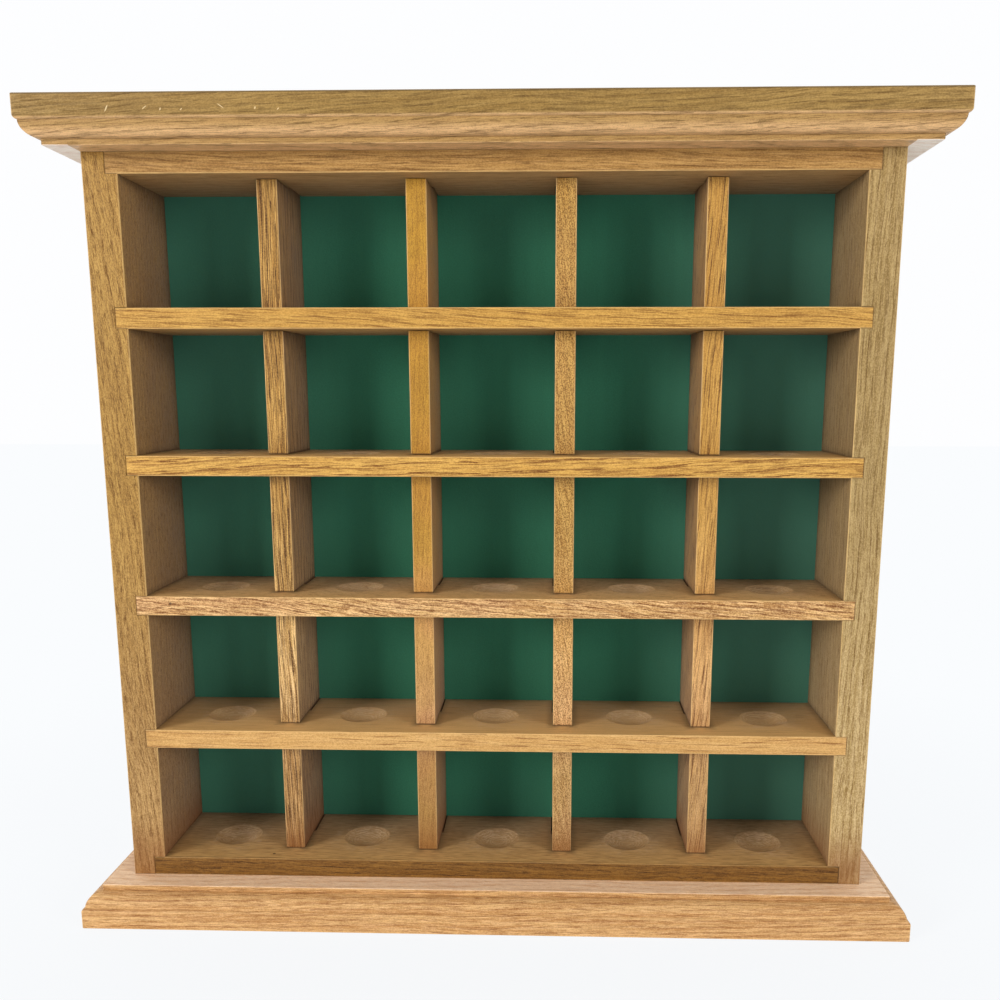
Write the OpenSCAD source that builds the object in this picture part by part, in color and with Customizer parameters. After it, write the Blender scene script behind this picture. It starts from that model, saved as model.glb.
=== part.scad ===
// Oak display case for golf balls: five shelves deep and five cells wide, with a moulded
// board as crown and as base. The origin is the middle of the underside of the base, +Z up.
// The front faces -Y, and +X is to the right of someone who looks at the front.

/* [Cells] */
// Clear width of one cell
cell_w = 54.8; // [48:0.2:70]
// Clear height of one cell
cell_h = 54; // [48:0.5:70]
// Clear depth of one cell, from the front edges of the shelves to the lining
cell_depth = 49; // [44:0.5:70]
// Diameter of the shallow dish that stops a ball from rolling
dish_d = 22; // [14:0.5:28]
// Depth of that dish
dish_depth = 2.5; // [1:0.1:4]

/* [Boards] */
// Thickness of the shelves and of the top and bottom boards
board_t = 8.8; // [7:0.1:12]
// Thickness of the upright dividers
divider_t = 9; // [6:0.5:12]
// Distance of the dividers behind the front edges of the shelves
divider_setback = 10.5; // [2:0.5:16]
// Thickness of the two sides
side_t = 15; // [13:0.5:22]
// Depth of the grooves and rebates in the sides
let_in = 5.2; // [3:0.1:6]

/* [Crown and base] */
// Overhang of both moulded boards past the front and the sides
overhang = 18; // [12:0.5:24]
// Height of the flat outer band of the moulding
band_h = 9.6; // [7:0.1:14]
// Radius of the softened inner edge of that band
band_edge_r = 1.5; // [0.5:0.1:3]
// Step back from the band to the quarter round
quirk = 1.3; // [0.5:0.1:3]
// Radius of the quarter round
round_r = 6; // [4:0.5:8]
// Height of the flat lip between the quarter round and the body
lip_h = 2.4; // [1:0.2:4]

/* [Back] */
// Thickness of the back panel
back_t = 5; // [3:0.5:8]
// Thickness of the felt lining
felt_t = 1; // [0.5:0.1:2]
// Distance of the edge of the felt inside the edge of the back panel
felt_margin = 1; // [0.5:0.5:4]

/* [Fasteners] */
// Diameter of the base screws
screw_d = 4; // [3:0.1:4.5]
// Length of the base screws, from the top of the head to the point
screw_len = 40; // [32:1:50]
// Diameter of the countersunk screw heads
screw_head_d = 8; // [6:0.1:9]
// Distance of the screw heads inside the underside of the base
screw_recess = 0.8; // [0.2:0.1:2]
// Diameter of the crown dowels
dowel_d = 5; // [4:0.5:5.5]
// Length of the crown dowels
dowel_len = 24; // [16:1:26]
// Distance of the screws and dowels from the front and back faces of the sides
fastener_inset = 12; // [8:0.5:16]
// Diameter of the panel nails
nail_d = 1.2; // [0.8:0.1:1.8]
// Length of the panel nails
nail_len = 16; // [12:1:22]
// Diameter of the nail heads
nail_head_d = 2.4; // [2:0.1:3]

/* [Fits] */
// Gap that lets a board slide into its groove
groove_gap = 0.1; // [0.05:0.05:0.3]
// Gap on each side of a divider in the slots of the boards
slot_gap = 0.5; // [0.1:0.1:1]
// Gap over and under a divider between two boards
foot_gap = 0.3; // [0.1:0.1:0.8]
// Gap round a fastener in its hole
hole_gap = 0.1; // [0.05:0.05:0.3]

/* [Hidden] */

columns = 5;
rows = 5;
oak = "#bd8549";
dark_oak = "#a8733c";
plywood = "#c9a676";
green = "#2a5a42";
steel = "#b4b6b8";

// Width, height and depth of the body between the crown and the base
clear_w = columns * cell_w + (columns - 1) * divider_t;
body_w = clear_w + 2 * side_t;
body_h = rows * cell_h + (rows + 1) * board_t;
body_depth = cell_depth + felt_t + back_t;

// Heights of the moulding, and how far it steps back from the band to the lip
moulded_t = band_h + round_r + lip_h;
step_back = quirk + round_r;
total_w = body_w + 2 * overhang;
total_depth = body_depth + overhang;

// Planes of the body
body_bottom = moulded_t;
body_top = body_bottom + body_h;
back_y = total_depth / 2;
front_y = back_y - body_depth;
lining_y = front_y + cell_depth;
panel_y = lining_y + felt_t;

// Boards that run from side to side, and the panel behind them
board_len = clear_w + 2 * (let_in - groove_gap);
divider_y = front_y + divider_setback;
lap_y = (divider_y + lining_y) / 2;
felt_w = board_len - 2 * felt_margin;
felt_h = body_h - 2 * felt_margin;

// The line of the screws and dowels, in the middle of the wood outside the grooves
fastener_x = body_w / 2 - (side_t - let_in) / 2;
fastener_places = [for (x = [-fastener_x, fastener_x],
    y = [front_y + fastener_inset, back_y - fastener_inset]) [x, y]];

// Nails into the sides, one at the height of each cell, and into the top and bottom boards
nail_head_t = 0.8;
nail_side_x = clear_w / 2 + let_in / 2;
nail_places = concat(
    [for (x = [-nail_side_x, nail_side_x], row = [0:rows - 1]) [x, cell_middle(row)]],
    [for (column = [0:columns - 1],
        z = [body_bottom + board_t / 2, body_top - board_t / 2]) [column_x(column), z]]);

// Fineness of round shapes
$fn = 64;

// Extra length that carries a cut past the face that it opens
past = 1;

// Underside of the board that lies over the given number of cells
function board_z(level) = body_bottom + level * (cell_h + board_t);

// Middle of the height of the cells in a row, counted from the bottom
function cell_middle(row) = board_z(row) + board_t + cell_h / 2;

// Middle of the width of the cells in a column, counted from the left
function column_x(column) = (column - (columns - 1) / 2) * (cell_w + divider_t);

// Middle of the thickness of a divider, counted from the left
function divider_x(index) = (index - (columns - 2) / 2) * (cell_w + divider_t);

// Outline of the moulded edge on one side, with the band at the top
// The outer face of the band is at x = 0 and the wood lies towards +x, as far as reach
module edge_outline(reach) {
    translate([0, moulded_t - band_h + band_edge_r])
        square([reach, band_h - band_edge_r]);
    translate([band_edge_r, moulded_t - band_h])
        square([reach - band_edge_r, band_edge_r]);
    translate([band_edge_r, moulded_t - band_h + band_edge_r])
        circle(r = band_edge_r);
    translate([step_back, 0])
        square([reach - step_back, moulded_t - band_h]);
    translate([step_back, moulded_t - band_h])
        circle(r = round_r);
}

// A board with its moulding on the front and on both ends, and a plain back edge
// The band is at the top, and the lip at z = 0
module moulded_board() {
    intersection() {
        translate([-total_w / 2, 0, 0])
            rotate([90, 0, 90])
                linear_extrude(total_w)
                    translate([-back_y, 0])
                        edge_outline(total_depth);
        translate([0, back_y, 0])
            rotate([90, 0, 0])
                linear_extrude(total_depth) {
                    translate([-total_w / 2, 0])
                        edge_outline(total_w / 2);
                    mirror([1, 0])
                        translate([-total_w / 2, 0])
                            edge_outline(total_w / 2);
                }
    }
}

// Countersunk wood screw with its head down at z = 0 and its point up
module screw() {
    head_h = (screw_head_d - screw_d) / 2;
    point_h = 1.5 * screw_d;
    slot_w = screw_head_d / 8;
    slot_len = 0.55 * screw_head_d;
    difference() {
        rotate_extrude()
            polygon([[0, 0], [screw_head_d / 2, 0], [screw_d / 2, head_h],
                [screw_d / 2, screw_len - point_h], [0, screw_len]]);
        for (turn = [0, 90])
            rotate([0, 0, turn])
                translate([-slot_len / 2, -slot_w / 2, -past])
                    cube([slot_len, slot_w, past + head_h / 2]);
    }
}

// Room for one screw: the recess and countersink below, then a straight hole
module screw_hole() {
    head_r = screw_head_d / 2 + hole_gap;
    hole_r = screw_d / 2 + hole_gap;
    translate([0, 0, -past])
        cylinder(r = head_r, h = past + screw_recess);
    translate([0, 0, screw_recess])
        cylinder(r1 = head_r, r2 = hole_r, h = head_r - hole_r);
    cylinder(r = hole_r, h = screw_recess + screw_len + hole_gap);
}

// Dowel with chamfered ends, centred on z = 0
module dowel() {
    chamfer = dowel_d / 8;
    rotate_extrude()
        polygon([[0, -dowel_len / 2], [dowel_d / 2 - chamfer, -dowel_len / 2],
            [dowel_d / 2, -dowel_len / 2 + chamfer], [dowel_d / 2, dowel_len / 2 - chamfer],
            [dowel_d / 2 - chamfer, dowel_len / 2], [0, dowel_len / 2]]);
}

// Flat-headed nail with its head at z = 0 and its point at -z
module nail() {
    rotate_extrude()
        polygon([[0, 0], [nail_head_d / 2, 0], [nail_head_d / 2, -nail_head_t],
            [nail_d / 2, -nail_head_t], [nail_d / 2, nail_d - nail_len], [0, -nail_len]]);
}

// Room for one nail, with a shallow seat for its head
module nail_hole() {
    translate([0, 0, -nail_head_t])
        cylinder(r = nail_head_d / 2 + hole_gap, h = nail_head_t + past, $fn = 24);
    translate([0, 0, -nail_len - hole_gap])
        cylinder(r = nail_d / 2 + hole_gap, h = nail_len, $fn = 24);
}

// Puts its child on each screw place, at the underside of the base
module at_screws() {
    for (place = fastener_places)
        translate([place[0], place[1], 0])
            children();
}

// Puts its child on each dowel place, at the joint of the crown and the body
module at_dowels() {
    for (place = fastener_places)
        translate([place[0], place[1], body_top])
            children();
}

// Puts its child on each nail place, at the back face of the panel and facing back
module at_nails() {
    for (place = nail_places)
        translate([place[0], back_y, place[1]])
            rotate([-90, 0, 0])
                children();
}

// Room for all the fasteners
module fastener_holes() {
    at_screws() screw_hole();
    at_dowels()
        cylinder(d = dowel_d + 2 * hole_gap, h = dowel_len + 2 * hole_gap, center = true);
    at_nails() nail_hole();
}

// Board from side to side, with its slots for the dividers, at a height z
module slotted_board(z) {
    difference() {
        translate([-board_len / 2, front_y, z])
            cube([board_len, cell_depth, board_t]);
        for (index = [0:columns - 2])
            translate([divider_x(index) - divider_t / 2 - slot_gap, lap_y, z - past])
                cube([divider_t + 2 * slot_gap, lining_y - lap_y + past, board_t + 2 * past]);
    }
}

// Ball dishes in a board whose upper face is at a height z
module dishes(z) {
    dish_r = (pow(dish_d / 2, 2) + pow(dish_depth, 2)) / (2 * dish_depth);
    for (column = [0:columns - 1])
        translate([column_x(column), (front_y + lining_y) / 2, z + dish_r - dish_depth])
            sphere(r = dish_r);
}

// Shelf over the given number of cells, with its row of ball dishes
module shelf(level) {
    color(oak)
        difference() {
            slotted_board(board_z(level));
            dishes(board_z(level) + board_t);
        }
}

// Side on the left, with its grooves, end rebates and back rebate, and its mirror image
module side() {
    inner_x = -clear_w / 2;
    color(oak)
        difference() {
            translate([-body_w / 2, front_y, body_bottom])
                cube([side_t, body_depth, body_h]);
            for (level = [1:rows - 1])
                translate([inner_x - let_in, front_y - past, board_z(level)])
                    cube([let_in + past, cell_depth + 2 * past, board_t + groove_gap]);
            for (z = [body_bottom - past, body_top - board_t])
                translate([inner_x - let_in, front_y - past, z])
                    cube([let_in + past, cell_depth + 2 * past, board_t + past]);
            translate([inner_x - let_in, lining_y, body_bottom - past])
                cube([let_in + past, body_depth, body_h + 2 * past]);
            fastener_holes();
        }
}

// Divider with one finger in each row of cells, joined by a strip behind the slots
module divider(index) {
    color(oak)
        translate([divider_x(index) - divider_t / 2, 0, 0]) {
            translate([0, lap_y + groove_gap, body_bottom])
                cube([divider_t, lining_y - lap_y - groove_gap, body_h]);
            for (row = [0:rows - 1])
                translate([0, divider_y, board_z(row) + board_t + foot_gap])
                    cube([divider_t, lining_y - divider_y, cell_h - 2 * foot_gap]);
        }
}

module base() {
    color(dark_oak)
        difference() {
            translate([0, 0, moulded_t])
                mirror([0, 0, 1])
                    moulded_board();
            fastener_holes();
        }
}

module crown() {
    color(dark_oak)
        difference() {
            translate([0, 0, body_top])
                moulded_board();
            fastener_holes();
        }
}

module left_side() {
    side();
}

module right_side() {
    mirror([1, 0, 0])
        side();
}

module bottom_board() {
    color(oak)
        difference() {
            slotted_board(board_z(0));
            dishes(board_z(0) + board_t);
            fastener_holes();
        }
}

module top_board() {
    color(oak)
        difference() {
            slotted_board(board_z(rows));
            fastener_holes();
        }
}

module back_panel() {
    color(plywood)
        difference() {
            translate([-board_len / 2, panel_y, body_bottom])
                cube([board_len, back_t, body_h]);
            fastener_holes();
        }
}

module felt_lining() {
    color(green)
        difference() {
            translate([-felt_w / 2, lining_y, body_bottom + felt_margin])
                cube([felt_w, felt_t, felt_h]);
            fastener_holes();
        }
}

module base_screws() {
    color(steel)
        at_screws()
            translate([0, 0, screw_recess])
                screw();
}

module crown_dowels() {
    color(oak)
        at_dowels() dowel();
}

module panel_nails() {
    color(steel)
        at_nails() nail();
}

base();
left_side();
right_side();
bottom_board();
shelf(1);  // shelf_1
shelf(2);  // shelf_2
shelf(3);  // shelf_3
shelf(4);  // shelf_4
top_board();
divider(0);  // divider_1
divider(1);  // divider_2
divider(2);  // divider_3
divider(3);  // divider_4
crown();
back_panel();
felt_lining();
base_screws();
crown_dowels();
panel_nails();
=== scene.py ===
"""Oak display case for golf balls: five rows of five cells, moulded crown and base, green felt back."""

import math

import bmesh
import bpy
import numpy as np
from mathutils import Matrix, Vector
from mathutils.geometry import delaunay_2d_cdt


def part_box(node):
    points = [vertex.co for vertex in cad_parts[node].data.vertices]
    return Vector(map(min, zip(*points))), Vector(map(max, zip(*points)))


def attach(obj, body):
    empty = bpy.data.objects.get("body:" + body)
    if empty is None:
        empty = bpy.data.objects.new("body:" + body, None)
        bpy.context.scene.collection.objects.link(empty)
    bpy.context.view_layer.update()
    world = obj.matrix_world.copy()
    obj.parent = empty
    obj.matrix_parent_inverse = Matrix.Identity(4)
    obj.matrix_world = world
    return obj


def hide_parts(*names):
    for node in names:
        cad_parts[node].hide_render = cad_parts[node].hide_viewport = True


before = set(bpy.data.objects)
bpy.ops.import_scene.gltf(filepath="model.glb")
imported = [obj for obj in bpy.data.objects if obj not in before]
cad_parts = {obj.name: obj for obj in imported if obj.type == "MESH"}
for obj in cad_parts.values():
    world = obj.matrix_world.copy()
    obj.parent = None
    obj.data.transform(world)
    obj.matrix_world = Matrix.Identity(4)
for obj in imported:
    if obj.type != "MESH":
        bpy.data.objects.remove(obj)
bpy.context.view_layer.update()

# Sizes of the case, in metres, as in the part's source
mm = 0.001
column_step = 63.8 * mm
row_step = 62.8 * mm
board_t = 8.8 * mm
divider_t = 9 * mm
inner_half = 155 * mm
body_half = 170 * mm
body_low = 18 * mm
body_high = 340.8 * mm
front_y = -18.5 * mm
divider_y = -8 * mm
lining_y = 30.5 * mm
back_y = 36.5 * mm
dish_r = 11 * mm
dish_y = 6 * mm
felt_w = 318.2 * mm
felt_h = 320.8 * mm
felt_t = 1 * mm
felt_margin = 1 * mm
felt_wave = 0.2 * mm
felt_clear = 0.05 * mm

# The moulded board, crown and base
total_w = 376 * mm
total_d = 73 * mm
moulding_front = back_y - total_d
moulded_t = 18 * mm
band_h = 9.6 * mm
band_edge_r = 1.5 * mm
step_back = 7.3 * mm
step_lip = 2.4 * mm
round_r = 6 * mm
arris = 0.5 * mm
flat_strip = 0.4 * mm
screw_x = 165.1 * mm
screw_ys = (-6.5 * mm, 24.5 * mm)
screw_hole_r = 4.1 * mm
screw_head_z = 0.8 * mm
countersink_h = 2 * mm
countersink_share = 0.51

# Small shapes of the finish and of the pieces
ease_w = 0.45 * mm
joint_ease = 0.3
nick_w = 0.32 * mm
merge_gap = 0.001 * mm


# Shader maths

class Flow:
    """A socket of a finish that can be added, multiplied and compared like a number."""

    def __init__(self, finish, socket):
        self.finish = finish
        self.socket = socket

    def maths(self, operation, *others, clamp=False):
        sockets = dict(enumerate((self,) + others))
        return self.finish.node("ShaderNodeMath", {"operation": operation, "use_clamp": clamp}, sockets)

    def flipped(self, operation, other):
        """The same with this socket as the second number, for 1 - mask."""
        return self.finish.node("ShaderNodeMath", {"operation": operation}, {0: other, 1: self})

    def __add__(self, other):
        return self.maths("ADD", other)

    def __radd__(self, other):
        return self.flipped("ADD", other)

    def __sub__(self, other):
        return self.maths("SUBTRACT", other)

    def __rsub__(self, other):
        return self.flipped("SUBTRACT", other)

    def __mul__(self, other):
        return self.maths("MULTIPLY", other)

    def __rmul__(self, other):
        return self.flipped("MULTIPLY", other)

    def __truediv__(self, other):
        return self.maths("DIVIDE", other)

    def __rtruediv__(self, other):
        return self.flipped("DIVIDE", other)

    def __pow__(self, other):
        return self.maths("POWER", other)

    def least(self, other):
        return self.maths("MINIMUM", other)

    def most(self, other):
        return self.maths("MAXIMUM", other)

    def size(self):
        return self.maths("ABSOLUTE")

    def part(self):
        return self.maths("FRACT")

    def held(self):
        return self.maths("ADD", 0.0, clamp=True)

    def rise(self, start, end):
        """0 before start and 1 after end, with a soft S between; start may be the larger."""
        settings = {"interpolation_type": "SMOOTHSTEP"}
        return self.finish.node("ShaderNodeMapRange", settings, {0: self, 1: start, 2: end, 3: 0.0, 4: 1.0})


class Finish:
    """A material and the nodes that make it."""

    def __init__(self, name):
        self.material = bpy.data.materials.new(name)
        self.material.use_nodes = True
        self.tree = self.material.node_tree
        self.shader = self.tree.nodes["Principled BSDF"]

    def node(self, kind, settings=None, sockets=None, out=0):
        made = self.tree.nodes.new(kind)
        for key, value in (settings or {}).items():
            setattr(made, key, value)
        for key, value in (sockets or {}).items():
            self.feed(made.inputs[key], value)
        return Flow(self, made.outputs[out])

    def feed(self, socket, value):
        if isinstance(value, Flow):
            self.tree.links.new(value.socket, socket)
        else:
            socket.default_value = value

    def place(self):
        """Where a point is on the case, as three numbers in metres."""
        spot = self.node("ShaderNodeTexCoord", out="Object")
        return [self.node("ShaderNodeSeparateXYZ", None, {0: spot}, out) for out in range(3)]

    def facing(self):
        """Which way the surface looks, as the three numbers of its normal."""
        normal = self.node("ShaderNodeNewGeometry", out="Normal")
        return [self.node("ShaderNodeSeparateXYZ", None, {0: normal}, out) for out in range(3)]

    def point(self, a, b, c):
        return self.node("ShaderNodeCombineXYZ", None, {0: a, 1: b, 2: c})

    def noise(self, a, b, c, detail=2.0, roughness=0.5):
        """Smooth noise from 0 to 1 over three numbers, one bump to each unit of them."""
        sockets = {"Vector": self.point(a, b, c), "Scale": 1.0, "Detail": detail, "Roughness": roughness}
        return self.node("ShaderNodeTexNoise", None, sockets, "Fac")

    def mix(self, amount, first, second, way="MIX"):
        """The first colour at amount 0 and the second at 1, or what another way of blending makes."""
        settings = {"data_type": "RGBA", "blend_type": way}
        return self.node("ShaderNodeMix", settings, {0: amount, 6: first, 7: second}, 2)

    def bump(self, height, distance, strength):
        sockets = {"Strength": strength, "Distance": distance, "Height": height}
        return self.node("ShaderNodeBump", None, sockets)

    def set(self, **sockets):
        for key, value in sockets.items():
            self.feed(self.shader.inputs[key.replace("_", " ")], value)
        return self.material


class Surround(Finish):
    """The world and its nodes, made in the same way."""

    def __init__(self, name):
        world = bpy.data.worlds.new(name)
        world.use_nodes = True
        bpy.context.scene.world = world
        self.tree = world.node_tree


def shade(red, green, blue):
    """A colour as it looks on a screen, from 0 to 255, turned into the light that a shader uses."""
    levels = [level / 255 for level in (red, green, blue)]
    return [x / 12.92 if x <= 0.04045 else ((x + 0.055) / 1.055) ** 2.4 for x in levels] + [1.0]


# Tones of the oak boards, each a pale, a warm and a dark colour
golden = (shade(203, 159, 79), shade(181, 134, 59), shade(107, 64, 16))
bright_golden = (shade(211, 167, 85), shade(189, 140, 63), shade(112, 67, 19))
plain_golden = (shade(211, 170, 107), shade(191, 144, 80), shade(123, 76, 26))
rosy = (shade(211, 171, 110), shade(184, 137, 80), shade(110, 63, 23))
base_rosy = (shade(218, 175, 117), shade(190, 142, 86), shade(127, 75, 32))
olive = (shade(158, 127, 69), shade(135, 104, 50), shade(80, 54, 14))
left_tan = (shade(184, 147, 92), shade(154, 117, 66), shade(99, 63, 20))
right_tan = (shade(203, 176, 126), shade(173, 145, 92), shade(117, 86, 35))
top_tan = (shade(185, 144, 82), shade(157, 117, 60), shade(91, 56, 14))
brown = (shade(153, 109, 48), shade(129, 87, 33), shade(66, 36, 4))
streaky = (shade(209, 170, 116), shade(180, 137, 82), shade(90, 52, 18))
dark_streaky = (shade(180, 140, 85), shade(152, 111, 60), shade(71, 41, 12))
speckled = (shade(188, 151, 93), shade(161, 120, 64), shade(89, 55, 18))
mottled = (shade(179, 138, 75), shade(155, 115, 60), shade(88, 52, 13))

# The warmer wood below the crown's band
warm_layer = shade(219, 169, 112)


# Finishes

class Wood(Finish):
    """The finish of one oak board, built up in layers. x, y and z are the place on the case, and along,
    wide and deep the place in the log, with along on the grain. runs is the axis of the grain, x or z."""

    def __init__(self, name, runs, box, tones, shift, slope):
        super().__init__(name)
        self.x, self.y, self.z = self.place()
        self.face_y, self.face_z = self.facing()[1:]
        self.runs = runs
        self.low, self.high = box
        self.pale, self.warm, self.dark = tones
        self.light = [self.pale[0] * 1.42, self.pale[1] * 1.5, self.pale[2] * 1.85, 1.0]
        along, wide, deep = (self.x, self.z, self.y) if runs == "x" else (self.z, self.x, self.y)
        self.along = along + shift[0]
        sway = self.noise(wide * 16 + shift[1] * 90, deep * 16, self.along * 9)
        self.wide = wide + shift[1] + self.along * slope + (sway - 0.5) * 0.010
        self.deep = deep + shift[2]
        self.soft = self.noise(self.x * 60, self.y * 60, self.z * 60)

    def fibres(self, across, along, detail=1.0):
        """Noise drawn out along the grain, by its bumps to a metre across the grain and along it."""
        return self.noise(self.wide * across, self.deep * across, self.along * along, detail)

    def lay(self, amount, colour, way="MIX"):
        """Lay a colour over the layers below, by an amount from 0 to 1."""
        self.colour = self.mix(amount, self.colour, colour, way)


def second_least(a, b, c):
    """The middle one of three distances: near an edge or a corner it is small."""
    return a.least(b).most(a.most(b).least(c))


def cell_corner(x, y, z):
    """Distance to the nearest inside corner of a cell, in metres. The dividers start behind the front
    edges of the boards, so there only the corners at the sides of the case count."""
    across = column_step / 2 - ((x / column_step + 0.5).part() - 0.5).size() * column_step - divider_t / 2
    ahead = (divider_y - y) * x.size().rise(inner_half - 20 * mm, inner_half - 24 * mm)
    level = ((z - body_low) / row_step).part() * row_step - board_t
    up = level.size().least(((row_step - board_t) - level).size())
    return second_least(across.size().most(ahead), up, (lining_y - y).size())


def lay_moulding_tone_and_light(wood, steps):
    """Below the crown's band the wood is warmer, and faces that look down are paler, which is painted light
    from below.
    """
    wood.lay(wood.z.rise(steps[0] + 0.1 * mm, steps[0] - 0.1 * mm) * 0.3, warm_layer)
    # Painted light from below: faces that look down are mixed towards a pale tone.
    wood.lay(wood.face_z.rise(-0.2, -0.9) * 0.8, shade(246, 200, 146))


def lay_paler_face(wood, height, from_x, amount, face_pale, face_dark):
    """Paler wood on the flat face at this height, from so far out from the middle of the case. On the crown
    this face looks down at its ends, beyond the sides, and its paleness is painted light from below.
    """
    pale_face = (wood.z - height).size().rise(0.3 * mm, 0.1 * mm)
    pale_face = pale_face * wood.x.size().rise(from_x - 0.4 * mm, from_x)
    wood.lay(pale_face * amount, face_pale)
    wood.dark = wood.mix(pale_face * 0.85, wood.dark, face_dark)
    wood.rough = wood.rough + pale_face * 0.2


def lay_step_shade(wood, steps):
    """Painted shade in the steps of the crown's moulding, at its front and ends: a dark line along each
    step.
    """
    for step_z in steps:
        # Painted shade: a darker line where each step of the moulding turns in.
        shade_line = (wood.z - step_z).size().rise(0.45 * mm, 0.2 * mm) * wood.y.rise(back_y, back_y - 1 * mm)
        wood.lay(shade_line * 0.2, shade(96, 66, 34))


def lay_rubbed_arrises(wood, let_in, wear):
    """Pale arrises on a board that fills its box, where the varnish is rubbed. The ends of a board that is
    let into its neighbours aren't rubbed; returns 1 there in a fine line, where dirt sits in the joint."""
    place = (wood.x, wood.y, wood.z)
    reach = [(at - low).least(high - at) for at, low, high in zip(place, wood.low, wood.high)]
    joint = 0.0
    if let_in:
        joint = reach.pop(0 if wood.runs == "x" else 2).rise(0.5 * mm, 0.2 * mm)
        corner = reach[0].most(reach[1])
    else:
        corner = second_least(*reach)
    wood.lay(corner.rise(0.7 * mm, 0.1 * mm) * (0.3 + wood.soft) * wear, shade(232, 194, 132))
    return joint


def lay_joints(wood, joint):
    """Dark joints at a board's ends, and beside the ends of a shelf where they sit in the sides."""
    if wood.runs == "x":
        gap = (wood.high[2] - wood.z).least(wood.z - wood.low[2]).rise(0.55 * mm, 0.3 * mm)
        joint = joint.most(gap * wood.x.size().rise(inner_half, inner_half + 0.3 * mm))
    wood.lay(joint * (0.1 + wood.soft * 0.45), shade(66, 46, 28))


def lay_dust_light_and_shade(wood, dusty, streak):
    """Dust with painted light and shade on what shows inside the cells, thicker towards the lining: greyish
    brown on the walls, which is dust and painted shade; paler on the ceilings and palest on the floors,
    which is painted light, brightest at the front of the floors. Returns 1 inside the cells."""
    x = wood.x
    y = wood.y
    between_sides = (inner_half + 0.3 * mm - x.size()).rise(-0.2 * mm, 0.2 * mm)
    inside = y.rise(front_y, front_y + 1.2 * mm) * y.rise(lining_y + 0.6 * mm, lining_y)
    inside = inside * between_sides * wood.face_y.rise(-0.9, -0.4)
    floor = wood.face_z.rise(0.5, 0.9)
    back_half = y.rise(front_y - 4 * mm, lining_y + 4 * mm)
    # Painted light: the tone of floors and ceilings is brighter at the front and greyer towards the lining.
    film = wood.mix(back_half, shade(222, 176, 112), shade(184, 160, 132))
    ceiling = wood.face_z.rise(-0.5, -0.9)
    # Dust and painted shade on the walls, painted light on the floors and, half as much, on the ceilings.
    dust = wood.mix(floor.most(ceiling * 0.55), shade(124, 106, 97), film)
    layer = 0.5 + wood.soft * 0.2 + streak * 0.7
    dust_and_shade_reach = ((back_half * 0.4 + 0.6) * dusty).most(floor)
    wood.lay((inside * layer * dust_and_shade_reach).held(), dust)
    return inside


def lay_corner_shade_and_seam(wood, inside):
    """Painted shade in the inside corners of the cells: a soft darkening, with a fine dark line in it where
    the pieces meet.
    """
    corner = cell_corner(wood.x, wood.y, wood.z)
    # Painted shade within 4 mm of each inside corner, and a fine dark joint line at the corner itself.
    soft_shade_and_seam = corner.rise(4.0 * mm, 0.2 * mm) * (0.15 + wood.soft * 0.3)
    soft_shade_and_seam = soft_shade_and_seam.most(corner.rise(0.6 * mm, 0.25 * mm) * 0.35)
    wood.lay(soft_shade_and_seam * inside, shade(56, 40, 28))


def lay_low_tone_and_contact_shadow(wood):
    """An upright board is browner near the base, and has a painted contact shadow where it meets each floor
    behind the dividers' fronts."""
    x = wood.x
    y = wood.y
    z = wood.z
    wood.lay(z.rise(50 * mm, 26 * mm) * (0.35 + wood.soft * 0.4), shade(126, 74, 34))
    # Painted contact shadow: a dark band just above each floor.
    foot_shadow = ((z - body_low) / row_step).part() * row_step - board_t
    foot_shadow = foot_shadow.size().rise(1.1 * mm, 0.5 * mm) * y.rise(divider_y - 1 * mm, divider_y)
    foot_shadow = foot_shadow * x.size().rise(inner_half + 0.5 * mm, inner_half - 0.5 * mm)
    wood.lay(foot_shadow * 0.7, shade(70, 44, 24))


def lay_dishes(wood):
    """Ball dishes: a ragged hollow, lighter on its near side and browner at its far side as painted light
    and shade in the bowl, with faint turned arcs and scuffs, stronger on the far side as a painted
    highlight, and pale smudges round it where balls rolled."""
    x = wood.x
    y = wood.y
    z = wood.z
    off = ((x / column_step + 0.5).part() - 0.5) * column_step
    out = y - dish_y
    reach = (off * off + out * out) ** 0.5
    up = wood.face_z.rise(0.3, 0.8)
    ragged = wood.noise(x * 420, y * 420, z * 420, 3.0, 0.6)
    hollow = (reach + (ragged - 0.5) * 5 * mm).rise(dish_r + 1.0 * mm, dish_r - 1.5 * mm) * up
    wander = wood.noise(x * 160, y * 160, z * 160)
    cut = ((reach * 700 + wander * 3.0).part() - 0.5).size() * 2
    scuff = wood.noise(wood.along * 300, wood.deep * 900, wood.wide * 900, 3.0, 0.65)
    far = out.rise(-dish_r, dish_r * 0.8)
    around = reach.rise(dish_r + 12 * mm, dish_r - 2 * mm) * up
    arcs = cut.rise(0.6, 0.95) * wander.rise(0.42, 0.56) * hollow
    worn_floor = (scuff.rise(0.52, 0.66) * around * 0.35).most(arcs * 0.5)
    # Painted light and shade: the hollow is lighter on its near side and browner on its far side.
    wood.lay(hollow * 0.22, wood.mix(far, shade(206, 150, 90), shade(140, 110, 74)))
    smudge = (ragged + wood.soft * 0.5).rise(0.72, 0.92) * reach.rise(2 * mm, 6 * mm) * around
    wood.lay(smudge * 0.3, shade(206, 172, 142))
    # Painted highlight: the arcs and scuffs are paler and stronger towards the far side.
    wood.lay((worn_floor * (far * 0.6 + 0.4)).held(), shade(220, 196, 162))
    wood.height = wood.height + hollow * (cut * 0.3 + scuff * 0.6)
    wood.rough = wood.rough + hollow * 0.2


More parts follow.
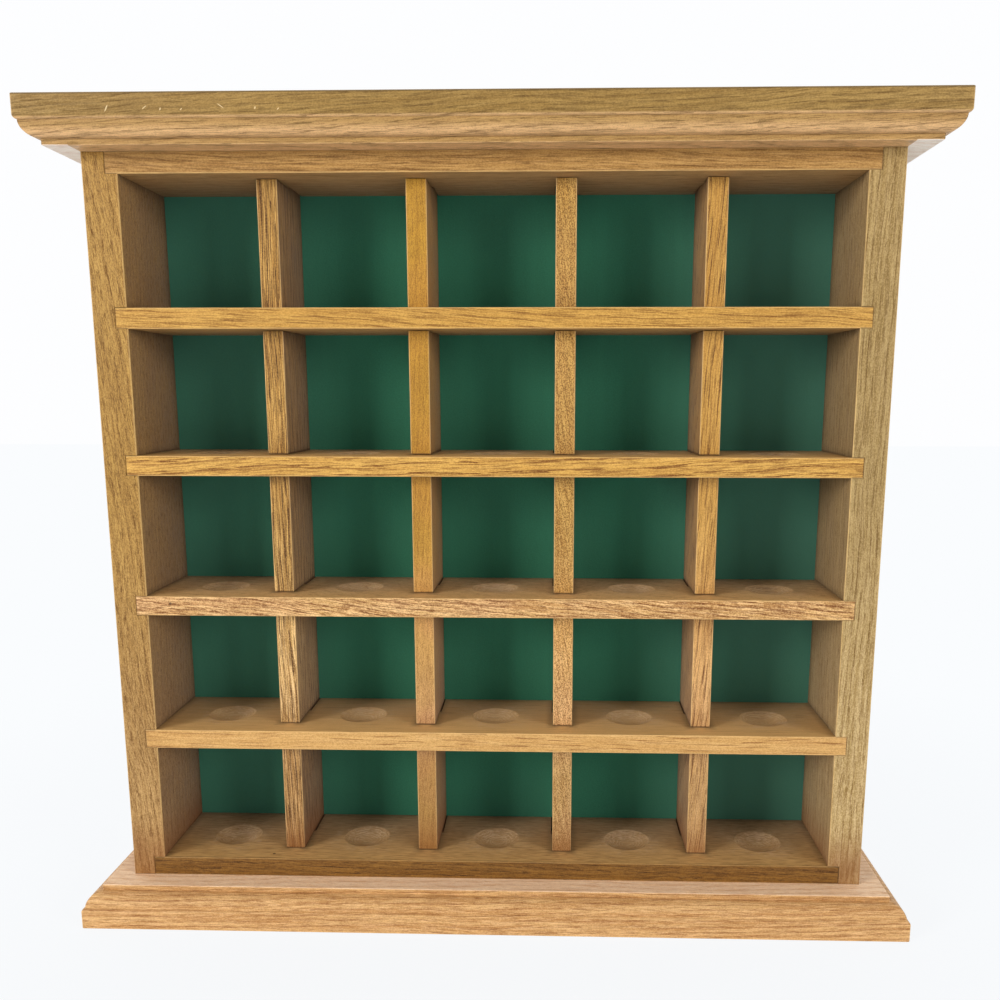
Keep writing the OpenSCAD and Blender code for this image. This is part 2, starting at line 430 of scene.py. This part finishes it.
def lay_spots(wood, spots):
    """Small dark knots, by their place and radius in millimetres."""
    for spot_x, spot_y, spot_z, spot_r in spots:
        off = [wood.x - spot_x * mm, wood.y - spot_y * mm, wood.z - spot_z * mm]
        reach = (off[0] ** 2 + off[1] ** 2 + off[2] ** 2) ** 0.5
        spot = reach.rise(spot_r * 1.3 * mm, spot_r * 0.6 * mm)
        wood.lay(spot * 0.75, shade(58, 38, 22))
        wood.height = wood.height - spot * 1.5


def lay_nicks(wood, nicks):
    """Small pale nicks in the crown's front face, by their x, z, half length and lean."""
    for nick_x, nick_z, length, lean in nicks:
        run = (wood.x - nick_x * mm) + (wood.z - nick_z * mm) * lean
        nick = ((run / nick_w) ** 2 + ((wood.z - nick_z * mm) / (length * mm)) ** 2).rise(1.3, 0.5)
        nick = nick * wood.y.rise(moulding_front + 1 * mm, moulding_front + 0.3 * mm)
        wood.lay(nick * 0.6, shade(240, 214, 164))
        wood.height = wood.height - nick * 1.2


def oak(name, runs, box, shift, tones, slope=0.02, ring=2.6, dash=0.75, dash_rate=190, vein=0.5, rare=0.0,
        speck=0.3, gleam=0.3, calm=1.0, blush=0.0, top_tint=None, fourth_row=None, dark_front=0.0,
        wear=0.55, let_in=True, dusty=1.0, dishes=False, pale_face=None, steps=(), top_line=False, spots=(),
        nicks=()):
    """Varnished oak. Growth rings round a pith outside the board gather the open pores, which show as dark
    dashes along the grain.

    runs is the axis of the grain, shift the board's place in the log, and slope how far the grain runs off.
    tones are the pale, the warm and the dark colour, and ring is the width of a year in millimetres.
    dash is the strength of the pores and dash_rate how many there are to a metre along the grain.
    vein is the strength of the long dark streaks, rare thins them out, and speck is for the short ones.
    gleam is the strength of the light flecks, blush of pink patches, and calm below 1 evens the rest out.
    top_tint multiplies the colour of the upper part of the case, painted light that warms it, and
    fourth_row that of the fourth row.
    dark_front paints shade on the front edge, wear the rubbed arrises and dusty the dust and
    painted shade in the cells.
    let_in is False for the two moulded boards; pale_face, steps and top_line are their paler flat face,
    which on the crown is painted light from below, the heights of the crown's steps and the grime along its
    top edge.
    dishes, spots and nicks are wear and single marks, and the dishes also hold painted light and shade."""
    wood = Wood(name, runs, box, tones, shift, slope)
    side_on = wood.wide + (wood.fibres(90, 30, 2.0) - 0.5) * 0.0018
    radius = (side_on * side_on + wood.deep * wood.deep) ** 0.5
    year = (radius / (ring * mm)).part()
    early = year.rise(0.62, 0.05) * year.rise(0.0, 0.05)
    fine = wood.fibres(2400, dash_rate)
    bright = wood.fibres(2400, dash_rate * 0.6)
    fibre = wood.fibres(3200, 260)
    fleck = wood.fibres(2400, 1500)
    pore = fine.rise(0.555, 0.585) * (0.55 + early * 0.45)
    long = wood.fibres(1800, 50)
    line = long.rise(0.55 + rare, 0.585 + rare) * (0.3 + early * 0.7).most(rare * 14)
    speckle = fleck.rise(0.53, 0.62) * speck

    streaks = wood.fibres(560, 20, 3.0)
    wood.colour = wood.mix(0.5 + (streaks.rise(0.34, 0.66) - 0.5) * calm, wood.pale, wood.warm)
    wood.lay(wood.fibres(30, 8, 2.0).rise(0.35, 0.75) * 0.35, wood.warm)
    wood.rough = 0.42 + fibre * 0.10 + pore * 0.25
    if steps:
        lay_moulding_tone_and_light(wood, steps)
    if pale_face is not None:
        lay_paler_face(wood, *pale_face)
    if blush:
        pink = [wood.pale[0] * 0.96, wood.pale[1] * 0.88, wood.pale[2] * 1.15, 1.0]
        wood.lay(wood.fibres(30, 22, 2.0).rise(0.42, 0.62) * blush, pink)
    wood.lay((early * 0.22 * calm).held(), wood.dark)
    wood.lay(fibre.rise(0.45, 0.75) * 0.26 * calm, wood.dark)
    wood.lay(bright.rise(0.52, 0.60) * gleam, wood.light)
    wood.lay(line * vein, wood.dark)
    wood.lay(pore * dash, wood.dark)
    wood.lay(fleck.rise(0.47, 0.38) * speck * 0.5, wood.light)
    wood.lay(speckle * 0.7, wood.dark)
    wood.lay(wood.soft.rise(0.45, 0.75) * 0.12, wood.dark)
    wood.height = fibre * 0.2 - pore * 0.8 - line * 0.3 - speckle * 0.3

    lay_step_shade(wood, steps)
    # Painted shade on the faces that look to the front.
    if dark_front:
        wood.lay(wood.face_y.rise(-0.7, -0.95) * dark_front, wood.dark)
    # Painted light: the upper part of the case is tinted warmer.
    if top_tint is not None:
        wood.lay(wood.z.rise(40 * mm, 220 * mm), top_tint + (1.0,), "MULTIPLY")
    if fourth_row is not None:
        row = wood.z.rise(66 * mm, 96 * mm) * wood.z.rise(190 * mm, 130 * mm)
        wood.lay(row, fourth_row + (1.0,), "MULTIPLY")
    joint = lay_rubbed_arrises(wood, let_in, wear)
    if top_line:
        at_front = wood.y.rise(moulding_front + 1.1 * mm, moulding_front + 0.7 * mm)
        wood.lay((wood.high[2] - wood.z).rise(0.9 * mm, 0.5 * mm) * at_front * 0.65, shade(74, 56, 30))
    if let_in:
        lay_joints(wood, joint)
        inside = lay_dust_light_and_shade(wood, dusty, bright - fine)
        lay_corner_shade_and_seam(wood, inside)
        wood.rough = wood.rough + inside * 0.12
        if runs == "z":
            lay_low_tone_and_contact_shadow(wood)
    if dishes:
        lay_dishes(wood)
    lay_spots(wood, spots)
    lay_nicks(wood, nicks)
    wood.set(Base_Color=wood.colour, Roughness=wood.rough.held())
    wood.set(Normal=wood.bump(wood.height, 0.12 * mm, 0.5))
    return wood.set(Coat_Weight=0.03, Coat_Roughness=0.35, Specular_IOR_Level=0.25)


def felt():
    """Green felt: matted fibres, a slightly brushed nap in upright streaks, a soft sheen, and painted light
    that makes it paler and greyer towards the outer columns.
    """
    cloth = Finish("green_felt")
    x, y, z = cloth.place()
    mat = cloth.noise(x * 1500, y * 1500, z * 1500, 4.0, 0.7)
    curl = cloth.noise(x * 420, y * 420, z * 300, 3.0, 0.6)
    nap = cloth.noise(x * 130, y * 130, z * 9, 2.0)
    patch = cloth.noise(x * 22, y * 22, z * 18, 2.0)
    colour = cloth.mix(mat, shade(44, 102, 80), shade(62, 136, 108))
    colour = cloth.mix(curl.rise(0.45, 0.75) * 0.35, colour, shade(52, 117, 92))
    colour = cloth.mix(nap.rise(0.42, 0.72) * 0.22, colour, shade(60, 134, 106))
    colour = cloth.mix(patch.rise(0.4, 0.75) * 0.3, colour, shade(52, 100, 82))
    # Painted light: paler, greyer felt towards the outer columns, more on the right.
    sides = (x.rise(50 * mm, 130 * mm) * 0.4).most(x.rise(-50 * mm, -130 * mm) * 0.24)
    colour = cloth.mix(sides, colour, shade(88, 130, 120))
    cloth.set(Base_Color=colour, Roughness=0.95, Normal=cloth.bump(mat * 0.6 + curl * 0.6, 0.25 * mm, 0.6))
    return cloth.set(Sheen_Weight=0.15, Sheen_Roughness=0.5, Specular_IOR_Level=0.15)


def plywood():
    """Birch-faced plywood, left raw: a calm upright grain with fine flecks, a little dust and handling."""
    sheet = Finish("panel_plywood")
    x, y, z = sheet.place()
    wander = sheet.noise(x * 9, y * 9, z * 4, 2.0) - 0.5
    across = x + wander * 0.03
    bands = sheet.noise(across * 120, y * 300, z * 2.2, 2.0)
    lines = sheet.noise(across * 520, y * 520, z * 7, 2.0)
    grain = sheet.noise(x * 1400, y * 1400, z * 40, 2.0)
    fleck = sheet.noise(x * 1700, y * 1700, z * 230, 1.0).rise(0.62, 0.72)
    soil = sheet.noise(x * 18, y * 18, z * 18, 3.0).rise(0.5, 0.8)
    colour = sheet.mix(bands.rise(0.3, 0.7), shade(210, 178, 132), shade(194, 156, 108))
    colour = sheet.mix(lines.rise(0.5, 0.75) * 0.4, colour, shade(170, 128, 84))
    colour = sheet.mix(grain * 0.25, colour, shade(160, 120, 80))
    colour = sheet.mix(fleck * 0.4, colour, shade(134, 94, 60))
    colour = sheet.mix(soil * 0.2, colour, shade(140, 112, 84))
    sheet.set(Base_Color=colour, Roughness=0.62 + grain * 0.12)
    return sheet.set(Normal=sheet.bump(grain - fleck, 0.1 * mm, 0.5), Specular_IOR_Level=0.35)


def beech():
    """Plain beech dowel with small flecks along its length."""
    peg = Finish("dowel_beech")
    x, y, z = peg.place()
    grain = peg.noise(x * 900, y * 900, z * 60, 2.0)
    fleck = peg.noise(x * 1800, y * 1800, z * 350, 1.0).rise(0.6, 0.7)
    colour = peg.mix(grain, shade(214, 176, 132), shade(190, 146, 100))
    colour = peg.mix(fleck * 0.5, colour, shade(150, 104, 66))
    return peg.set(Base_Color=colour, Roughness=0.6 + grain * 0.1, Normal=peg.bump(grain, 0.1 * mm, 0.4))


def plated_steel():
    """Zinc-plated steel with a dull spangle, light scratches and a darker film in patches."""
    metal = Finish("zinc_steel")
    x, y, z = metal.place()
    spangle = metal.noise(x * 900, y * 900, z * 900, 2.0)
    scratch = metal.noise(x * 5200, y * 400, z * 400, 2.0)
    film = metal.noise(x * 260, y * 260, z * 260, 3.0)
    colour = metal.mix(spangle, shade(176, 178, 180), shade(206, 207, 204))
    colour = metal.mix(film.rise(0.5, 0.8) * 0.5, colour, shade(128, 122, 112))
    metal.set(Base_Color=colour, Metallic=1.0, Roughness=0.30 + scratch * 0.22)
    return metal.set(Normal=metal.bump(scratch, 0.03 * mm, 0.4))


def studio_white():
    """Matt white floor that fades into the white surround away from the case and keeps its soft shadow.
    Seen from below it isn't there, so the case can be looked at from underneath."""
    paint = Finish("studio_white")
    x, y, z = paint.place()
    wash = paint.noise(x * 1.5, y * 1.5, z, 2.0)
    paint.set(Base_Color=paint.mix(wash, shade(243, 244, 247), shade(238, 240, 244)), Roughness=0.9)
    path = [paint.node("ShaderNodeLightPath", out=name) for name in ("Is Camera Ray", "Is Glossy Ray")]
    away = ((x * x + y * y) ** 0.5).rise(0.18, 0.5) * 0.1 + 0.9
    glow = paint.node("ShaderNodeEmission", None, {0: shade(250, 252, 254), 1: 1.0})
    lit = Flow(paint, paint.shader.outputs[0])
    near_white = paint.node("ShaderNodeMixShader", None, {0: path[0].most(path[1]) * away, 1: lit, 2: glow})
    back = paint.node("ShaderNodeNewGeometry", out="Backfacing")
    clear = paint.node("ShaderNodeBsdfTransparent")
    both = paint.node("ShaderNodeMixShader", None, {0: back, 1: near_white, 2: clear})
    paint.tree.links.new(both.socket, paint.tree.nodes["Material Output"].inputs[0])
    return paint.material


# Shapes

def add(name, mesh, finish, nodes=()):
    """Put a mesh in the scene as a piece of the case, with its finish and the CAD nodes it stands for."""
    piece = bpy.data.objects.new(name, mesh)
    bpy.context.scene.collection.objects.link(piece)
    mesh.materials.append(finish)
    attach(piece, "root")
    if nodes:
        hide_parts(*nodes)
    return piece


def quads(index, closed=False):
    """Four-sided faces over a grid of point numbers; closed joins the last column to the first."""
    after = np.roll(index, -1, axis=1)
    if not closed:
        index = index[:, :-1]
        after = after[:, :-1]
    return np.stack([index[:-1], after[:-1], after[1:], index[1:]], axis=-1).reshape(-1, 4)


def sheet_mesh(name, points):
    """A mesh over a grid of points, rows by columns."""
    index = np.arange(points.shape[0] * points.shape[1]).reshape(points.shape[:2])
    mesh = bpy.data.meshes.new(name)
    mesh.from_pydata(points.reshape(-1, 3).tolist(), [], quads(index).tolist())
    return mesh


def smooth(mesh, angle=30):
    """Smooth shading, which stops at edges that are sharper than the angle, in degrees."""
    mesh.shade_smooth()
    mesh.set_sharp_from_angle(angle=math.radians(angle))


def whole_faces(node):
    """The CAD board with its triangles joined into whole faces, and its sharp edges as pairs of points."""
    shape = bmesh.new()
    shape.from_mesh(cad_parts[node].data)
    bmesh.ops.remove_doubles(shape, verts=shape.verts, dist=merge_gap)
    bmesh.ops.dissolve_limit(shape, angle_limit=0.01, verts=shape.verts, edges=shape.edges)
    shape.verts.index_update()
    mesh = bpy.data.meshes.new(node + "_eased")
    mesh.from_pydata([v.co[:] for v in shape.verts], [], [[v.index for v in f.verts] for f in shape.faces])
    sharp = set()
    for edge in shape.edges:
        if edge.calc_face_angle(0.0) > math.radians(20):
            sharp.add(tuple(sorted(v.index for v in edge.verts)))
    shape.free()
    return mesh, sharp


def eased_board(node, finish, free_edge):
    """A planed board with its arrises taken off: each sharp edge gets a small round, the full width where
    free_edge says so of its two ends and less at the joints."""
    mesh, sharp = whole_faces(node)
    ends = np.empty(len(mesh.edges) * 2, np.int32)
    mesh.edges.foreach_get("vertices", ends)
    ends = np.sort(ends.reshape(-1, 2), axis=1)
    spots = np.empty(len(mesh.vertices) * 3)
    mesh.vertices.foreach_get("co", spots)
    start, end = spots.reshape(-1, 3)[ends.T]
    is_sharp = np.array([(int(a), int(b)) in sharp for a, b in ends])
    weight = np.where(free_edge(start, end), 1.0, joint_ease) * is_sharp
    layer = mesh.attributes.new("bevel_weight_edge", "FLOAT", "EDGE")
    layer.data.foreach_set("value", weight.astype(np.float32))
    smooth(mesh, 30)

    board = add("oak_" + node, mesh, finish, [node])
    bevel = board.modifiers.new("eased arrises", "BEVEL")
    bevel.limit_method = "WEIGHT"
    bevel.width = ease_w
    bevel.segments = 3
    bevel.use_clamp_overlap = False
    bevel.harden_normals = True


def near(values, target, reach=0.05 * mm):
    """True where a value lies at the target."""
    return np.abs(values - target) < reach


def shelf_edges(start, end):
    """The lengthwise arrises of a board's front edge, and the rims of its dishes."""
    front = near(start[:, 1], front_y) & near(end[:, 1], front_y) & near(start[:, 2], end[:, 2])
    step = np.abs((start[:, 0] + column_step * 2.5) % column_step - column_step / 2)
    reach = np.hypot(step, start[:, 1] - dish_y)
    return front | near(reach, dish_r, 0.4 * mm)


def side_edges(start, end):
    """Upright arrises of a side at its front and its back."""
    upright = near(start[:, 0], end[:, 0]) & near(start[:, 1], end[:, 1])
    return upright & (near(start[:, 1], front_y) | near(start[:, 1], back_y))


def divider_edges(start, end):
    """Upright arrises at the front of a divider."""
    return near(start[:, 1], divider_y) & near(end[:, 1], divider_y) & near(start[:, 0], end[:, 0])


def arc(centre, radius, start, end, count=6):
    """Points on part of a circle, by the angle from the inward direction, in degrees."""
    angle = np.radians(np.linspace(start, end, count))
    return np.stack([centre[0] + radius * np.cos(angle), centre[1] + radius * np.sin(angle)], axis=-1)


def moulding_profile():
    """The moulded edge as rows of inset, height and back inset: up the lip, round the quarter round, out
    under the band and up to its top arris. Extra rows beside each arris keep the flat faces flat."""
    quarter_z = moulded_t - band_h
    lip = arc((step_back + arris, arris), arris, -90, -180)
    quarter = arc((step_back, quarter_z), round_r, -90, -180, 14)
    under = arc((band_edge_r, quarter_z + band_edge_r), band_edge_r, -98, -180, 8)
    top = arc((arris, moulded_t - arris), arris, 180, 90)
    aside = np.array([flat_strip, 0])
    above = np.array([0, flat_strip])
    rows = np.concatenate([
        lip[:1] + aside, lip, lip[-1:] + above, [[step_back, step_lip]],
        quarter, under, under[-1:] + above, top[:1] - above, top, top[-1:] + aside])
    to_face = np.minimum(rows[:, 1], moulded_t - rows[:, 1])
    back = arris - np.sqrt(np.maximum(arris ** 2 - np.maximum(arris - to_face, 0) ** 2, 0))
    back[[0, -1]] += flat_strip
    return np.column_stack([rows, back])


def moulding_rings(profile):
    """The profile carried round a rectangle with eased corners, counter-clockwise from the right-hand back
    corner: a row is drawn in by its inset at the front and both ends, and by its back inset at the back."""
    half = total_w / 2 - profile[:, 0, None]
    front = profile[:, 0, None] - total_d / 2
    rear = back_y - profile[:, 2, None]
    bend = arc((-arris, -arris), arris, 0, 90, 5)
    bend = np.concatenate([bend[:1] - [0, flat_strip], bend, bend[-1:] - [flat_strip, 0]])
    out_x, out_y = bend.T
    x = np.concatenate([half + out_x, -half - out_x[::-1], -half - out_x, half + out_x[::-1]], axis=1)
    y = np.concatenate([rear + out_y, rear + out_y[::-1], front - out_y, front - out_y[::-1]], axis=1)
    return np.stack([x, y], axis=-1)


def face_with_holes(outline, centres, radius, around):
    """Triangles over a flat outline, leaving out round holes: constrained Delaunay, then the triangles
    whose middle falls in a hole are dropped. Returns the points, the triangles and the holes' rims."""
    turn = np.linspace(0, 2 * np.pi, around, endpoint=False)
    circle = radius * np.stack([np.cos(turn), np.sin(turn)], axis=-1)
    rims = [np.array(centre) + circle for centre in centres]
    loops = [outline] + rims
    starts = np.cumsum([0] + [len(loop) for loop in loops])
    edges = []
    for first, after in zip(starts, starts[1:]):
        count = int(after - first)
        edges += [(int(first) + k, int(first) + (k + 1) % count) for k in range(count)]
    spots, _, faces, *_ = delaunay_2d_cdt([Vector(p) for p in np.concatenate(loops)], edges, [], 1, 1e-7)
    spots = np.array([tuple(p) for p in spots])
    faces = np.array(faces)
    middles = spots[faces].mean(axis=1)
    gaps = np.array([np.hypot(*(middles - centre).T) for centre in centres])
    return spots, faces[gaps.min(axis=0) > radius * 0.999], rims


def screw_recess(centre, rim, flat_z, up):
    """The wall of a screw hole: its rim carried straight in, drawn in by the countersink and closed at the
    axis. up is the way that the hole goes in from flat_z."""
    depth = screw_head_z + countersink_h
    share = np.array([1, 1, countersink_share, 0])
    sunk = np.array([0, screw_head_z, depth, depth])
    wall = centre + share[:, None, None] * (rim - centre)
    height = flat_z - up * sunk[:, None] + np.zeros((1, len(rim)))
    return np.concatenate([wall, height[..., None]], axis=-1)


def moulded_board(node, finish, lip_z, up, holes=()):
    """The crown, with up 1, or the base, with up -1: the moulding's rings stacked from the lip to the band,
    and both flat faces filled in. Screw holes go in the band's face."""
    profile = moulding_profile()
    rings = moulding_rings(profile)
    z = lip_z + up * profile[:, 1, None] + np.zeros((1, rings.shape[1]))
    points = np.concatenate([rings, z[..., None]], axis=-1).reshape(-1, 3)
    index = np.arange(z.size).reshape(z.shape)
    faces = quads(index, closed=True).tolist()
    faces.append(index[0][::-1].tolist())
    if holes:
        flat_z = z[-1, 0]
        spots, triangles, rims = face_with_holes(rings[-1], holes, screw_hole_r, 32)
        faces += (triangles + len(points)).tolist()
        points = np.concatenate([points, np.column_stack([spots, np.full(len(spots), flat_z)])])
        for centre, rim in zip(holes, rims):
            wall = screw_recess(np.array(centre), rim, flat_z, up)
            index = np.arange(wall.shape[0] * wall.shape[1]).reshape(wall.shape[:2]) + len(points)
            faces += quads(index[::-1], closed=True).tolist()
            points = np.concatenate([points, wall.reshape(-1, 3)])
    else:
        faces.append(index[-1].tolist())
    mesh = bpy.data.meshes.new(node + "_moulded")
    mesh.from_pydata(points.tolist(), [], faces)
    close_up(mesh)
    smooth(mesh, 35)
    add("oak_" + node, mesh, finish, [node])


def close_up(mesh):
    """Join points that lie on each other, which drops faces without area, and turn every face outwards."""
    shape = bmesh.new()
    shape.from_mesh(mesh)
    bmesh.ops.remove_doubles(shape, verts=shape.verts, dist=merge_gap)
    bmesh.ops.recalc_face_normals(shape, faces=shape.faces)
    shape.to_mesh(mesh)
    shape.free()


def felt_sheet():
    """The felt: a rectangle over (u, v) that lies against the panel, its face drawn back from the front
    plane in slow waves, a sum of sines of u and v, and thickened backwards."""
    u = np.linspace(-0.5, 0.5, 161)[None, :] * felt_w
    v = np.linspace(0.0, 1.0, 161)[:, None] * felt_h + body_low + felt_margin
    waves = np.sin(u * 71 + 1.3) * np.sin(v * 53 + 0.4) + 0.6 * np.sin(u * 133 + v * 97)
    waves = waves + 0.4 * np.sin(v * 211 - u * 37)
    face = lining_y + (waves + 2.0) / 4.0 * felt_wave
    points = np.stack([u + 0 * v, face, v + 0 * u], axis=-1)
    mesh = sheet_mesh("felt", points)
    smooth(mesh)
    piece = add("felt", mesh, felt(), ["felt_lining"])
    thick = piece.modifiers.new("felt thickness", "SOLIDIFY")
    thick.thickness = felt_t - felt_wave - felt_clear
    thick.offset = -1


# Camera and lights

def camera():
    """The camera at the photograph's place: a little to the right and above the middle, looking down."""
    lens = bpy.data.cameras.new("camera")
    eye = bpy.data.objects.new("camera", lens)
    bpy.context.scene.collection.objects.link(eye)
    yaw = -0.02828
    pitch = -0.17798
    roll = 0.00090
    ahead = Vector((math.sin(yaw) * math.cos(pitch), math.cos(yaw) * math.cos(pitch), math.sin(pitch)))
    right = Vector((math.cos(yaw), -math.sin(yaw), 0))
    over = right.cross(ahead)
    across = right * math.cos(roll) + over * math.sin(roll)
    over = across.cross(ahead)
    turn = Matrix((across, over, -ahead)).transposed().to_4x4()
    eye.matrix_world = Matrix.Translation((27.7 * mm, -437.4 * mm, 243.1 * mm)) @ turn
    lens.sensor_width = 36
    lens.lens = 34.76
    lens.shift_x = -0.0275
    lens.shift_y = 0.065
    lens.clip_start = 0.01
    bpy.context.scene.camera = eye


def lamp(name, place, power, colour):
    """A square soft lamp that looks at the middle of the case."""
    light = bpy.data.lights.new(name, "AREA")
    light.shape = "RECTANGLE"
    light.size = 0.7
    light.size_y = 0.7
    light.energy = power
    light.color = colour
    holder = bpy.data.objects.new(name, light)
    bpy.context.scene.collection.objects.link(holder)
    aim = Vector((0, 0, 0.18)) - Vector(place)
    holder.matrix_world = Matrix.Translation(place) @ aim.to_track_quat("-Z", "Y").to_matrix().to_4x4()


def surround():
    """A white surround where it is seen, and a plain soft light, fuller from behind than from the front."""
    sky = Surround("studio")
    way = sky.node("ShaderNodeTexCoord", out="Generated")
    ahead = sky.node("ShaderNodeSeparateXYZ", None, {0: way}, 1)
    sockets = {0: ahead, 1: -0.1, 2: 0.5, 3: 0.49, 4: 0.95}
    level = sky.node("ShaderNodeMapRange", {"interpolation_type": "SMOOTHSTEP"}, sockets)
    soft = sky.node("ShaderNodeBackground", None, {0: (0.91, 0.955, 1.0, 1), 1: level})
    seen = sky.node("ShaderNodeBackground", None, {0: (0.985, 0.99, 1.0, 1), 1: 1.0})
    kinds = ("Is Camera Ray", "Is Glossy Ray", "Is Transmission Ray")
    camera_ray, glossy, through = [sky.node("ShaderNodeLightPath", out=kind) for kind in kinds]
    is_seen = camera_ray.most(glossy.most(through))
    choice = sky.node("ShaderNodeMixShader", None, {0: is_seen, 1: soft, 2: seen})
    sky.tree.links.new(choice.socket, sky.tree.nodes["World Output"].inputs["Surface"])


def studio():
    """A wide white floor, a white surround and two soft lamps on the left and the right."""
    span = np.linspace(-4, 4, 9)
    points = np.stack(np.meshgrid(span, span) + [np.zeros((9, 9))], axis=-1)
    floor = bpy.data.objects.new("floor", sheet_mesh("floor", points))
    floor.data.materials.append(studio_white())
    bpy.context.scene.collection.objects.link(floor)
    surround()
    lamp("left lamp", (-1.5, -1.25, 0.65), 28, (1.0, 0.95, 0.88))
    lamp("right lamp", (1.5, -1.25, 0.62), 17, (1.0, 0.96, 0.90))
    bpy.context.scene.view_settings.view_transform = "Standard"


# The pieces

def node_box(node):
    """The least and the greatest corner of a CAD node."""
    low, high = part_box(node)
    return tuple(low), tuple(high)


def build_crown():
    """The crown, with small nicks near its left end: their x, z, half length and lean, in millimetres."""
    nicks = (
        (-149.8, 352.6, 1.2, -0.5), (-134.6, 352.8, 0.7, -1.2), (-128.3, 352.2, 0.5, -0.3),
        (-120.0, 352.1, 0.4, -0.8), (-104.3, 353.2, 0.9, 1.4), (-90.7, 352.4, 0.5, -0.2),
        (-81.6, 352.0, 0.4, -0.8))
    steps = (body_high + moulded_t - band_h, body_high + step_lip)
    # The crown's pale flat face under its ends is painted light from below.
    pale_face = (body_high, body_half, 1.0, shade(255, 250, 240), shade(238, 204, 182))
    finish = oak("crown oak", "x", node_box("crown"), shift=(0.11, 0.034, 0.09), tones=olive, slope=-0.045,
                 ring=2.1, dash=0.55, dash_rate=130, vein=0.35, gleam=0.2, calm=0.7, let_in=False,
                 pale_face=pale_face, steps=steps, top_line=True, nicks=nicks)
    moulded_board("crown", finish, body_high, 1)


def build_base():
    """The base, with its four screw holes."""
    holes = [(side * screw_x, y) for side in (-1, 1) for y in screw_ys]
    pale_face = (body_low, 0, 0.85, shade(255, 226, 194), shade(206, 152, 108))
    finish = oak("base oak", "x", node_box("base"), shift=(0.53, 0.061, 0.07), tones=base_rosy, slope=-0.02,
                 ring=2.4, dash=0.5, let_in=False, pale_face=pale_face)
    moulded_board("base", finish, body_low, -1, holes)


def upright(node, **looks):
    """A side or a divider, with its grain upright."""
    finish = oak(node + " oak", "z", node_box(node), **looks)
    if node.endswith("side"):
        eased_board(node, finish, side_edges)
    else:
        eased_board(node, finish, divider_edges)


def build_uprights():
    """The two sides and the four dividers, each cut from its own piece of wood."""
    upright("left_side", shift=(0.07, 0.09, 0.06), tones=left_tan, slope=0.09, ring=2.7, dash=0.8,
            dash_rate=230, vein=0.3, rare=0.03, speck=0.45, gleam=0.2, calm=0.7,
            top_tint=(0.88, 0.83, 0.49))
    upright("right_side", shift=(0.43, -0.07, 0.05), tones=right_tan, slope=-0.035, ring=2.5, dash=0.7,
            dash_rate=130, vein=0.8, rare=0.03, speck=0.4, gleam=0.15, calm=0.8, dusty=0.7,
            top_tint=(0.71, 0.68, 0.57))
    upright("divider_1", shift=(3.9, 0.16, 0.06), tones=dark_streaky, ring=1.9, dash=1.0, dash_rate=80,
            vein=1.0, speck=0.4, gleam=0.7, top_tint=(1.0, 0.97, 0.65), fourth_row=(1.48, 1.67, 2.1))
    upright("divider_2", shift=(4.3, 0.1, 0.05), tones=mottled, slope=-0.05, ring=2.2, dash=0.3,
            dash_rate=220, vein=0.1, speck=0.4, gleam=0.15, calm=0.6, blush=0.8,
            top_tint=(1.08, 1.02, 0.42), fourth_row=(1.26, 1.32, 1.95))
    upright("divider_3", shift=(4.9, 0.02, 0.07), tones=speckled, slope=0.13, ring=2.6, dash=0.3, vein=0.1,
            speck=0.9, gleam=0.5, calm=0.7, blush=0.5, top_tint=(0.93, 0.87, 0.57),
            fourth_row=(1.31, 1.3, 1.45))
    upright("divider_4", shift=(5.3, -0.04, 0.05), tones=streaky, slope=-0.08, ring=2.0, dash=0.7,
            dash_rate=90, vein=1.0, rare=0.02, gleam=0.15, calm=0.5, top_tint=(0.92, 0.83, 0.44),
            fourth_row=(1.18, 1.17, 1.3))


def shelf(node, **looks):
    """A board between the sides. All but the top one have ball dishes."""
    finish = oak(node + " oak", "x", node_box(node), dishes=node != "top_board", **looks)
    eased_board(node, finish, shelf_edges)


def build_shelves():
    """The six boards between the sides, from the lowest to the top board."""
    # The bottom board's brown tones are partly a darker board and partly painted shade, and dark_front
    # paints more shade on its front.
    shelf("bottom_board", shift=(0.91, 0.05, 0.09), tones=brown, ring=2.2, vein=0.4, dark_front=0.3,
          wear=0.25, spots=((-104.5, -13.6, 26.8, 0.7),))
    shelf("shelf_1", shift=(1.3, 0.03, 0.08), tones=plain_golden, slope=0.01, ring=3.2, dash=0.15,
          dash_rate=60, vein=0.75, rare=0.07, gleam=0.2, calm=0.4)
    shelf("shelf_2", shift=(1.9, -0.11, 0.06), tones=rosy, slope=0.1, ring=2.2, dash=1.0, dash_rate=190,
          vein=0.8, speck=0.5, gleam=0.6, blush=0.5, spots=((-144.6, -18.5, 149.2, 0.6),))
    shelf("shelf_3", shift=(2.3, -0.15, 0.05), tones=bright_golden, slope=-0.04, ring=3.0, dash=1.0,
          dash_rate=110, vein=0.9, gleam=0.15, calm=0.5)
    shelf("shelf_4", shift=(2.9, -0.22, 0.04), tones=golden, slope=0.05, ring=2.6, dash=0.7, dash_rate=80,
          vein=0.6, rare=0.02, gleam=0.12, calm=0.5)
    # The top board's dark_front is the crown's shadow, painted.
    shelf("top_board", shift=(3.3, -0.27, 0.05), tones=top_tan, ring=2.4, dash=0.65, dash_rate=110,
          calm=0.8, dark_front=0.15)


def carry_over(finish, *nodes):
    """Give a finish to CAD pieces that are used as they are."""
    for node in nodes:
        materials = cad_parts[node].data.materials
        materials.clear()
        materials.append(finish)


camera()
studio()
build_crown()
build_base()
build_uprights()
build_shelves()
felt_sheet()
carry_over(plywood(), "back_panel")
carry_over(beech(), "crown_dowels")
carry_over(plated_steel(), "base_screws", "panel_nails")
